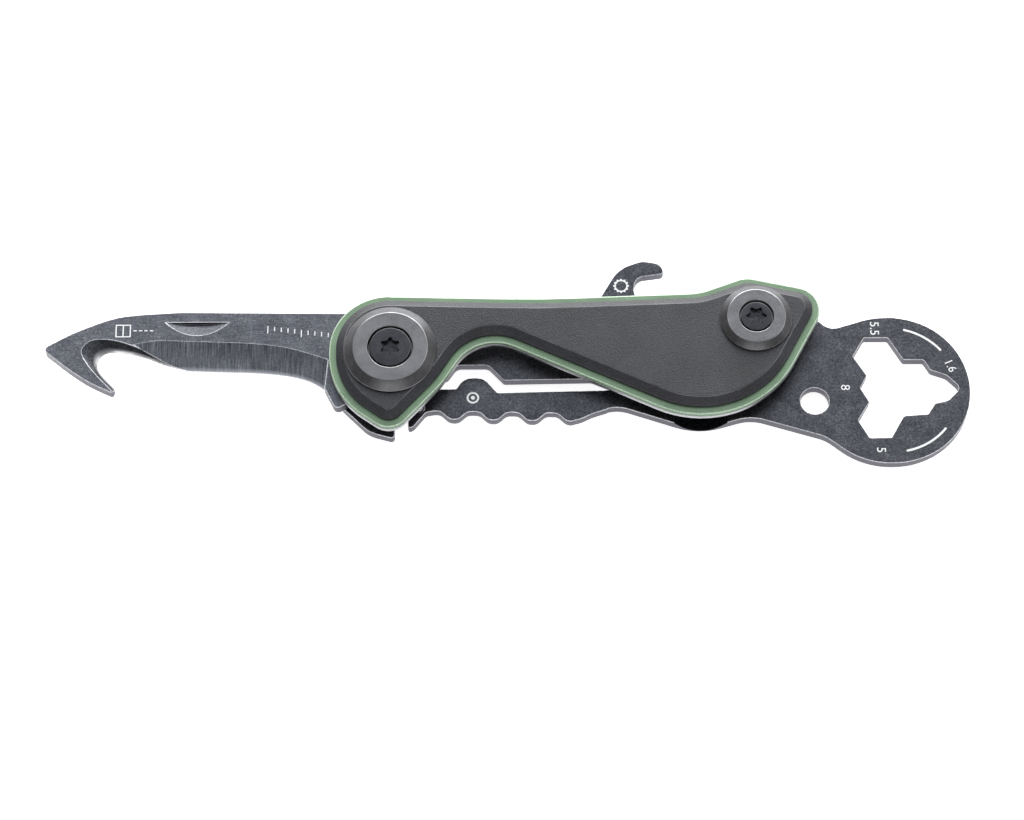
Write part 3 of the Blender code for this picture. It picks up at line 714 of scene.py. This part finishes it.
# Darker copy of the steel: painted shade in the nail scoop under the handle.
SCOOP_SHADE_STEEL = stonewashed("scoop_steel_painted_shade", tint=0.30)
BLADE_STEEL = stonewashed("blade_steel", tint=1.14, grain_share=0.24, fold=BLADE_FOLD)
GROUND_STEEL = stonewashed("ground_steel", tint=1.35, grain=(0.12, 4.0, 4.0), grain_share=0.55,
                           fold=BLADE_FOLD, bare=(BLADE_MIDDLE, 0.16, 0.06, 0.35))
HOOK_STEEL = stonewashed("hook_ground_steel", tint=0.70, grain=(0.5, 0.5, 0.5), fold=BLADE_FOLD,
                         bare=(BLADE_MIDDLE, 0.42, 0.14, 1.0))
COLLAR_STEEL = turned_steel("collar_steel", (0.110, 0.110, 0.114), (0.30, 0.30, 0.31))
SCREW_STEEL = turned_steel("screw_black", (0.034, 0.0345, 0.039), (0.14, 0.14, 0.148), ring=0.20, rough=0.34)
# Darker copy of the steel: painted shade inside the screw sockets.
SOCKET_SHADE_STEEL = stonewashed("socket_steel_painted_shade", tint=0.40)
SLEEVE_STEEL = turned_steel("sleeve_steel", (0.46, 0.46, 0.47), (0.75, 0.75, 0.75), rough=0.22)
BRONZE = turned_steel("bronze", (0.46, 0.30, 0.15), (0.72, 0.52, 0.30), rough=0.30)
LINER_STEEL = drawn_steel("liner_steel", (0.40, 0.405, 0.415))
PRINT = print_white()


# ---------------------------------------------------------------- plates

PIVOT_BORE = circle(0.0, 0.0, PIVOT_BORE_R)
POST_BORE = circle(*POST, POST_BORE_R)
PIN = polar(STOP_ORBIT, STOP_ANGLE)
PIN_BORE = circle(*PIN, PIN_BORE_R)
BALL, BALL_SEAT_R = (3.85, -6.35), 0.70
PLATE_ROUND = 0.12                   # edge rounding of the frame plate and of its lock bar
UNDER_FRAME = 0.003                  # keeps the lapped root just below the frame's face


def bore(name, radius, low, top, x=0.0, y=0.0):
    """Cutter for a round hole, which stands out of both faces of its layer."""
    overrun = 1.0
    cutter = rod(name, radius, low - overrun, top + overrun, x, y)
    cutter.transform(Matrix.Translation(PIVOT))
    return cutter


def build_frame_plate():
    low, top = heights("frame_plate")
    holes = [PIVOT_BORE, POST_BORE, circle(*LANYARD), rounded(SPANNER_CORNERS)]
    mesh = plate("frame_plate", frame_outline(), low, top, PLATE_ROUND, holes)
    mesh.materials.append(STEEL)
    # The nail scoop's floor gets much darker steel: painted shade from the handle above it.
    mesh.materials.append(SCOOP_SHADE_STEEL)
    scoop_x, scoop_start, scoop_length = 42.0, -6.60, 6.0
    scoop_r, scoop_depth = 5.70, 1.35
    scoop = rod("nail_scoop", scoop_r, 0.0, scoop_length)
    place = Vector((scoop_x, scoop_start, top - scoop_depth + scoop_r))
    scoop.transform(Matrix.Translation(PIVOT + place * MM) @ Matrix.Rotation(math.radians(90), 4, "X"))
    cutters = [(scoop, 1), (bore("pin_bore", PIN_BORE_R, low, top, *PIN), 0)]
    piece("frame_plate_fine", cut(mesh, cutters), None, "handle", ["frame_plate"])


def build_lock_bar():
    low, top = heights("lock_bar")
    mesh = plate("lock_bar", lock_bar_outline(), low + UNDER_FRAME, top - UNDER_FRAME, PLATE_ROUND,
                 [circle(*BALL, BALL_SEAT_R)])
    bar = piece("lock_bar_fine", mesh, STEEL, None, ["lock_bar"])
    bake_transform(bar)


def build_handle_layers():
    outline = rounded(HANDLE_CORNERS)
    low, top = heights("steel_liner")
    liner = plate("steel_liner", outline, low, top, rim=0.08, holes=[PIVOT_BORE, POST_BORE, PIN_BORE])
    piece("steel_liner_fine", liner, LINER_STEEL, "handle", ["steel_liner"])
    low, top = heights("accent_plate")
    accent = plate("accent_plate", outline, low, top, rim=0.26, holes=[PIVOT_BORE, POST_BORE])
    piece("accent_plate_fine", accent, green_anodised(), "handle", ["accent_plate"])


def build_scale():
    """Moulded scale: a short wall, a sloped border with soft rounds and a flat face."""
    low, top = heights("front_scale")
    margin, slope, wall, face = 1.0, 1.1, 0.45, 1.2
    foot_round, wall_round, face_round = 0.06, 0.22, 0.35
    inner = margin + slope + face    # the profile's last two corners only steer its arcs
    profile = rounded([(margin, low, foot_round), (margin, low + wall, wall_round),
                       (margin + slope, top, face_round), (inner, top, 0.0), (inner, low, 0.0)])[:-2]
    sections = [[(x, y, z) for x, y in rounded(inset(HANDLE_CORNERS, step))] for step, z in profile]
    mesh = loft("front_scale", sections)
    mesh.materials.append(pebbled_plastic())
    bores = [(bore("pivot_bore", PIVOT_BORE_R, low, top), 0),
             (bore("post_bore", POST_BORE_R, low, top, *POST), 0)]
    piece("front_scale_fine", cut(mesh, bores), None, "handle", ["front_scale"])


# ---------------------------------------------------------------- blade

TIP_CORNERS = [(-45.95, 0.29, 0.0), (-47.77, 1.75, 0.65), (-45.95, 2.75, 0.0)]
SPINE_CURVE = [(-45.95, 2.75), (-43.0, 4.35), (-38.6, 6.12), (-35.2, 6.78), (-29.0, 7.20)]
BARB_CURVE = [(-39.4, -4.14), (-41.4, -3.08), (-43.8, -1.43), (-45.95, 0.29)]
BARB_CORNERS = [(-37.40, -4.20, 0.45), (-37.85, -4.88, 0.40)]
RICASSO_CORNERS = [(-8.95, -4.35, 0.0), (-7.42, -7.45, 0.75), (-5.60, -6.35, 1.0), (0.0, -3.0, 0.0)]
SPINE_Y = 6.93
EDGE_LINE = [(-27.6, -1.32), (-24.0, -1.48), (-20.0, -1.60), (-16.5, -1.82), (-13.5, -2.25),
             (-11.0, -3.00), (-9.0, -4.20)]
GRIND_START = (-28.90, -1.20)        # where the grind's lower line starts, beside the hook
GRIND_LINE = [(-35.3, 2.35, 0.0), (-31.8, 2.92, 0.0), (-27.0, 2.78, 0.0), (-22.0, 2.60, 0.0),
              (-18.5, 2.40, 0.0), (-14.5, 1.85, 0.0), (-11.5, 1.00, 0.0), (-8.60, 0.00, 0.0)]
HOOK_CUT = [(-37.60, -3.90), (-39.45, -1.89), (-40.10, -0.42), (-39.42, 1.08), (-37.88, 1.52),
            (-35.76, 1.26), (-33.44, 0.62), (-30.71, -0.46), (-27.62, -1.32)]
HOOK_BEVEL = [(-38.20, -4.20, 0.0), (-39.90, -2.40, 0.0), (-41.52, -0.38, 0.0), (-42.30, 1.40, 0.0),
              (-41.30, 2.85, 0.0), (-39.40, 3.17, 0.0), (-37.26, 2.85, 0.0), (-33.60, 1.45, 0.27),
              (-28.70, -1.29, 1.00)]
BEVEL_RUN_IN, BEVEL_RUN_OUT = (-37.20, -5.25, 0.0), (-26.90, -2.20, 1.0)
CUT_RUN_IN, CUT_RUN_OUT = (-36.70, -4.87), (-26.20, -2.10)
TANG_R, LOBE_R, LOBE_START = 5.70, 8.30, -125.0
STOP_PLAY = 0.6                      # degrees of room beside the stop pin
STOP_HALF = math.degrees(math.asin(PIN_R / STOP_ORBIT)) + STOP_PLAY


def blade_outline():
    """Tang with its two stop shoulders, ricasso, edge, hook, barb, tip and spine."""
    open_shoulder = STOP_ANGLE + STOP_HALF
    folded_shoulder = STOP_ANGLE - STOP_HALF - 180.0
    shoulder_reach = SPINE_Y / math.sin(math.radians(open_shoulder))
    tip = smooth(BARB_CURVE, 6)[:-1] + rounded(TIP_CORNERS)[:-1] + smooth(SPINE_CURVE, 8)
    ricasso = rounded(RICASSO_CORNERS)[:-1]
    lobe = arc(LOBE_R, LOBE_START, folded_shoulder)
    root = arc(TANG_R, folded_shoulder, open_shoulder)
    barb = rounded([(*HOOK_CUT[1], 0.0)] + BARB_CORNERS + [(*BARB_CURVE[0], 0.0)])[1:-1]
    outline = [polar(shoulder_reach, open_shoulder)] + root[::-1] + lobe[::-1] + ricasso[::-1]
    outline += smooth(EDGE_LINE, 5)[::-1][1:] + smooth(HOOK_CUT, 8)[::-1][1:] + barb
    return outline + tip


def ground_face(name, face_line, edge_line, face_z, edge_z, profile, steps):
    """Cutter for a ground face that falls from (x, y, share) points to an edge line.

    The share says how much of the drop is already behind at the point, and `profile` says how much
    of the rest is behind at each share of the way to the edge.
    """
    overrun, clear, bands = 0.40, 3.0, 12
    away = face_z + (clear if face_z > edge_z else -clear)
    sections = []
    for (fx, fy, start), (ex, ey) in zip(smooth(face_line, steps), smooth(edge_line, steps)):
        over = Vector((ex - fx, ey - fy)).normalized() * overrun
        ring = []
        for t in [k / bands for k in range(bands + 1)]:
            drop = start + (1.0 - start) * profile(t)
            ring.append((fx + (ex - fx) * t, fy + (ey - fy) * t, face_z + (edge_z - face_z) * drop))
        ring += [(ex + over.x, ey + over.y, edge_z), (ex + over.x, ey + over.y, away), (fx, fy, away)]
        sections.append(ring)
    return loft(name, sections)


def hollow_profile(t):
    """Lies a little deeper than a straight slope, most of all half way."""
    hollow = 0.06
    return t + hollow * math.sin(math.pi * t)


def rolled_profile(t):
    """Nearly straight at first, then rolls over at the edge."""
    roll = 0.15
    return (1.0 - roll) * t + roll * t ** 4


def nail_nick(top):
    """Segment of a leaning cylinder whose flat end makes the nick's steep upper wall."""
    nick_x, nick_y, depth, length = -26.60, 5.55, 0.45, 4.0
    radius, tilt = 21.5, math.radians(13.3)
    nick = rod("nail_nick", radius, -length, 0.0, sides=240)
    place = Vector((nick_x, nick_y + radius * math.sin(tilt), top - depth + radius * math.cos(tilt)))
    lean = Matrix.Rotation(-math.radians(90) - tilt, 4, "X")
    nick.transform(Matrix.Translation(PIVOT + place * MM) @ lean)
    return nick


def build_blade():
    low, top = heights("blade")
    mesh = plate("blade", blade_outline(), low, top, rim=0.07, holes=[PIVOT_BORE])
    for material in (BLADE_STEEL, GROUND_STEEL, HOOK_STEEL):
        mesh.materials.append(material)
    past_edge = 0.03                 # how far the grind's lower line lies outside the edge line
    grind_edge = [GRIND_START] + [(x, y - past_edge) for x, y in EDGE_LINE]
    hook_bevel = [BEVEL_RUN_IN] + HOOK_BEVEL + [BEVEL_RUN_OUT]
    hook_edge = [CUT_RUN_IN] + HOOK_CUT + [CUT_RUN_OUT]
    edge_half, hook_half = 0.05, 0.08
    cutters = []
    for side, face, sign in (("front", top, 1.0), ("back", low, -1.0)):
        edge_z, hook_z = BLADE_MIDDLE + sign * edge_half, BLADE_MIDDLE + sign * hook_half
        edge_cutter = ground_face("edge_grind_" + side, GRIND_LINE, grind_edge, face, edge_z,
                                  hollow_profile, 6)
        hook_cutter = ground_face("hook_grind_" + side, hook_bevel, hook_edge, face, hook_z,
                                  rolled_profile, 6)
        cutters += [(edge_cutter, 1), (hook_cutter, 2)]
    cutters.append((nail_nick(top), 0))
    piece("blade_fine", cut(mesh, cutters), None, "blade", ["blade"], crease=9.0)


# ---------------------------------------------------------------- turned parts and screws

def ring_part(node, corners, material, place, body="handle"):
    piece(node + "_fine", turned(node, corners), material, body, [node], place=(*place, 0.0))


def build_tubes():
    for node, place, inner, material, slot in (
            ("pivot_sleeve", (0.0, 0.0), 1.50, SLEEVE_STEEL, "sleeve_steel"),
            ("post_sleeve", POST, 1.10, SLEEVE_STEEL, "sleeve_steel"),
            ("post_spacer", POST, POST_BORE_R, SLEEVE_STEEL, "sleeve_steel"),
            ("pivot_washer_front", (0.0, 0.0), PIVOT_BORE_R, BRONZE, "bronze"),
            ("pivot_washer_back", (0.0, 0.0), PIVOT_BORE_R, BRONZE, "bronze")):
        low, top = heights(node)
        outer = radius_of(node)
        fillet = min(0.12, (top - low) * 0.35)  # less on the thin washers
        corners = [(outer, top, fillet), (outer, low, fillet), (inner, low, fillet), (inner, top, fillet)]
        ring_part(node, corners, material, place)


def collar_corners(base, face, flange_r, face_r, recess_r, bore_r, rim, floor):
    """Profile of a chamfered ring with a recess for a screw head."""
    up = 1.0 if face > base else -1.0
    return [(face_r, face, 0.26), (flange_r, base + up * rim, 0.12), (flange_r, base, 0.08),
            (bore_r, base, 0.05), (bore_r, base + up * floor, 0.05), (recess_r, base + up * floor, 0.08),
            (recess_r, face, 0.13)]


def torx_outline():
    """Narrow lobes round a small core."""
    lobes, steps, core, lobe, sharpness = 6, 144, 1.00, 0.40, 1.6
    outline = []
    for i in range(steps):
        rise = (1.0 + math.cos(lobes * 2 * math.pi * i / steps)) / 2
        outline.append(polar(core + lobe * rise ** sharpness, 360 * i / steps))
    return outline


def build_screw(node, place, head_r, shank_r, head_face, head_base, shank_end, depth, turn):
    """A flat screw head with a six-lobed socket."""
    up = 1.0 if head_face > head_base else -1.0
    crown, flat_share = 0.04, 0.6
    corners = [(0.0, head_face, 0.0), (head_r * flat_share, head_face, 0.0),
               (head_r, head_face - up * crown, 0.14), (head_r, head_base, 0.05),
               (shank_r, head_base, 0.05), (shank_r, shank_end, 0.20), (0.0, shank_end, 0.0)]
    mesh = turned(node, corners)
    mesh.materials.append(SCREW_STEEL)
    # The socket is lined with darker steel: painted shade in the recess.
    mesh.materials.append(SOCKET_SHADE_STEEL)
    floor, mouth = head_face - up * depth, head_face + up
    socket = plate(node + "_socket", torx_outline(), min(floor, mouth), max(floor, mouth), rim=0.02)
    socket.transform(Matrix.Translation(-PIVOT))
    piece(node + "_fine", cut(mesh, [(socket, 1)]), None, "handle", [node],
          place=(*place, 0.0), turn=turn)


def outward(node, up):
    """A node's heights, from its inner end to the one that faces out of the tool."""
    return heights(node) if up > 0.0 else heights(node)[::-1]


def build_fastener(site, place, flange_r, recess_r, bore_r, shank_r, turn, sides):
    """A collar and a screw on each side, which `sides` gives a face radius and a socket depth."""
    rim, floor, seat = 0.30, 0.28, 0.33
    for side, (face_r, socket_depth) in sides.items():
        up = 1.0 if side == "front" else -1.0
        collar, screw = "%s_collar_%s" % (site, side), "%s_screw_%s" % (site, side)
        base, face = outward(collar, up)
        corners = collar_corners(base, face, flange_r, face_r, recess_r, bore_r, rim, floor)
        ring_part(collar, corners, COLLAR_STEEL, place)
        shank_end, head_face = outward(screw, up)
        build_screw(screw, place, radius_of(screw), shank_r, head_face, base + up * seat, shank_end,
                    socket_depth, turn)


def build_fasteners():
    build_fastener("pivot", (0.0, 0.0), flange_r=6.28, recess_r=3.05, bore_r=1.55, shank_r=1.40,
                   turn=30.0, sides={"front": (5.04, 0.75), "back": (5.40, 0.50)})
    build_fastener("post", POST, flange_r=4.85, recess_r=2.34, bore_r=1.15, shank_r=1.00,
                   turn=0.0, sides={"front": (3.92, 0.58), "back": (4.05, 0.50)})


def build_small_steel():
    low, top = heights("stop_pin")
    radius = radius_of("stop_pin")
    ring_part("stop_pin", [(0.0, top, 0.0), (radius, top, 0.15), (radius, low, 0.15), (0.0, low, 0.0)],
              SLEEVE_STEEL, PIN)
    low, top = heights("detent_ball")
    ball_r = (top - low) / 2
    half = [(*polar(ball_r, angle, 0.0, low + ball_r), 0.0) for angle in range(90, -91, -10)]
    ring_part("detent_ball", half, SLEEVE_STEEL, BALL, body="lock_bar")


# ---------------------------------------------------------------- printed marks

PRINT_THICKNESS = 0.012


def printed(name, mesh, body):
    mesh.transform(Matrix.Translation(PIVOT))
    mesh.materials.append(PRINT)
    obj = linked(name, mesh)
    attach(obj, body)


def numeral(name, text, size, x, y, surface, turn, body):
    """A size numeral centred at a place, as a thin raised print."""
    curve = bpy.data.curves.new(name, "FONT")
    curve.body = text
    curve.size = size * MM
    curve.align_x = "CENTER"
    curve.align_y = "CENTER"
    curve.extrude = PRINT_THICKNESS / 2 * MM
    curve.resolution_u = 4
    mesh = applied(name, bpy.data.objects.new(name, curve))
    mesh.transform(Matrix.Translation((x * MM, y * MM, (surface + PRINT_THICKNESS / 2) * MM))
                   @ Matrix.Rotation(math.radians(turn), 4, "Z"))
    printed(name, mesh, body)


def stroke(points, width):
    """Outline of a line of even width with round ends."""
    left, right = [], []
    for i, point in enumerate(points):
        before, after = points[max(i - 1, 0)], points[min(i + 1, len(points) - 1)]
        along = (Vector(after) - Vector(before)).normalized()
        side = Vector((-along.y, along.x)) * width / 2
        left.append(tuple(Vector(point) + side))
        right.append(tuple(Vector(point) - side))
    end = Vector(points[-1]) - Vector(points[-2])
    heading = math.degrees(math.atan2(end.y, end.x))
    start = Vector(points[0]) - Vector(points[1])
    tail = math.degrees(math.atan2(start.y, start.x))
    nose = arc(width / 2, heading + 90, heading - 90, *points[-1])[1:-1]
    rear = arc(width / 2, tail + 90, tail - 90, *points[0])[1:-1]
    return left + nose + right[::-1] + rear


def flat_print(name, outlines, surface, body):
    """Thin raised print from closed outlines drawn from the pivot."""
    curve = filled_curve(name, outlines, PRINT_THICKNESS / 2)
    mesh = applied(name, bpy.data.objects.new(name, curve))
    mesh.transform(Matrix.Translation((0.0, 0.0, (surface + PRINT_THICKNESS / 2) * MM)))
    printed(name, mesh, body)


def block(x, y, width, height):
    return [(x, y), (x + width, y), (x + width, y + height), (x, y + height)]


def build_size_marks(top):
    for name, text, size, x, y, turn in (
            ("mark_5_5", "5.5", 1.75, 66.02, 5.29, -90.0),
            ("mark_8", "8", 1.75, 61.71, -3.55, -90.0),
            ("mark_5", "5", 1.75, 66.22, -12.81, -90.0),
            ("mark_1_6", "1.6", 1.60, 76.15, -0.35, -66.0)):
        numeral(name, text, size, x, y, top, turn, "handle")


def build_rim_arcs(top):
    for name, radius, start, end in (("rim_arc_upper", 9.18, 76.0, 40.0),
                                     ("rim_arc_lower", 9.25, -78.0, -39.0)):
        flat_print(name, [stroke(arc(radius, start, end, *HEAD), width=0.30)], top, "handle")


def build_press_mark():
    """A ring and a dot where a finger frees the blade."""
    rings = [circle(11.10, -4.90, radius) for radius in (0.85, 0.60, 0.28)]
    flat_print("press_mark", rings, heights("lock_bar")[1] - UNDER_FRAME, "lock_bar")


def build_opener_mark(top):
    """A bottle cap, as a ring with a scalloped outside."""
    cap_x, cap_y, outer, inner, scallops, scallop = 31.45, 11.90, 1.0, 0.72, 12, 0.10
    cap = [polar(outer + scallop * math.cos(math.radians(scallops * angle)), angle, cap_x, cap_y)
           for angle in range(0, 360, 5)]
    flat_print("opener_mark", [cap, circle(cap_x, cap_y, inner)], top, "handle")


def build_parcel_mark(blade_top):
    """A box with two windows, and dashes beside it."""
    left, low, width, height, line = -37.75, 3.45, 2.10, 1.90, 0.16
    dash_gap, dash_pitch, dash_rise, dash_length = 0.35, 0.75, 0.9, 0.45
    parcel = [block(left, low, width, height)]
    for pane_left in (left + line, left + width / 2 + line / 2):
        parcel.append(block(pane_left, low + line, width / 2 - 1.5 * line, height - 2 * line))
    for i in range(4):
        dash_left = left + width + dash_gap + dash_pitch * i
        parcel.append(block(dash_left, low + dash_rise, dash_length, line))
    flat_print("parcel_mark", parcel, blade_top, "blade")


def build_scale_ticks(blade_top):
    """Ten graduations, of which every fifth is longer."""
    first, pitch, fall, width = -17.0, 0.92, 0.115, 0.14
    ticks = []
    for i in range(10):
        foot, height = (3.95, 1.10) if i % 5 == 0 else (4.40, 0.65)
        ticks.append(block(first + pitch * i, foot - fall * i, width, height))
    flat_print("scale_ticks", ticks, blade_top, "blade")


def build_prints():
    frame_top, blade_top = heights("frame_plate")[1], heights("blade")[1]
    build_size_marks(frame_top)
    build_rim_arcs(frame_top)
    build_press_mark()
    build_opener_mark(frame_top)
    build_parcel_mark(blade_top)
    build_scale_ticks(blade_top)


# ---------------------------------------------------------------- floor, light and camera

def build_stage():
    shape = bmesh.new()
    bmesh.ops.create_grid(shape, x_segments=8, y_segments=8, size=1.6)
    floor_mesh = bpy.data.meshes.new("floor")
    shape.to_mesh(floor_mesh)
    shape.free()
    floor_mesh.materials.append(floor_white())
    floor = linked("floor", floor_mesh)


WATTS = 4.0                          # a softbox's power per square metre at brightness 1


def softbox(name, azimuth, elevation, size, brightness, colour=(1.0, 1.0, 1.0)):
    """A softbox a metre away that looks at the tool's middle; azimuth 0 is +Y, 90 is +X."""
    light = bpy.data.lights.new(name, "AREA")
    light.shape = "RECTANGLE"
    light.size, light.size_y = size
    light.energy = brightness * WATTS * size[0] * size[1]
    light.color = colour
    softbox_object = linked(name, light)
    around, up = math.radians(azimuth), math.radians(elevation)
    away = Vector((math.sin(around) * math.cos(up), math.cos(around) * math.cos(up), math.sin(up)))
    softbox_object.location = away
    softbox_object.rotation_euler = away.to_track_quat("Z", "Y").to_euler()


def build_light():
    """A strong rear softbox, weaker ones in front, above and at the sides, and a white horizon."""
    world = bpy.data.worlds.new("studio")
    world.use_nodes = True
    tree = world.node_tree
    background = tree.nodes["Background"]
    coordinates = tree.nodes.new("ShaderNodeTexCoord")
    split = tree.nodes.new("ShaderNodeSeparateXYZ")
    ramp = tree.nodes.new("ShaderNodeValToRGB")
    tree.links.new(coordinates.outputs["Generated"], split.inputs[0])
    tree.links.new(split.outputs["Z"], ramp.inputs["Fac"])
    tree.links.new(ramp.outputs["Color"], background.inputs["Color"])
    horizon, sky = ramp.color_ramp.elements
    horizon.position, horizon.color = 0.08, (1.0, 1.0, 1.0, 1.0)
    sky.position, sky.color = 0.28, (0.15, 0.15, 0.155, 1.0)
    background.inputs["Strength"].default_value = 0.95
    bpy.context.scene.world = world
    softbox("rear", 4.0, 22.0, (1.1, 0.70), 5.6)
    softbox("overhead", -10.0, 70.0, (0.9, 0.60), 1.8, (0.92, 0.955, 1.0))
    softbox("front", 180.0, 33.0, (1.0, 0.20), 3.2)
    softbox("left", -84.0, 42.0, (0.7, 0.6), 0.35)
    softbox("right", 80.0, 42.0, (0.7, 0.6), 1.4)


def build_camera():
    """The view is from above the tool's lower edge, with a slight roll."""
    camera_data = bpy.data.cameras.new("camera")
    camera_data.lens = 123.05
    camera_data.sensor_width = 36.0
    camera_data.clip_start, camera_data.clip_end = 0.01, 10.0
    camera = linked("camera", camera_data)
    camera.location = (0.00443, -0.19855, 0.43773)
    camera.rotation_euler = [math.radians(angle) for angle in (23.749, 0.494, 0.0)]
    bpy.context.scene.camera = camera
    bpy.context.scene.view_settings.view_transform = "Standard"


build_frame_plate()
build_lock_bar()
build_handle_layers()
build_scale()
build_blade()
build_tubes()
build_fasteners()
build_small_steel()
build_prints()
build_stage()
build_light()
build_camera()
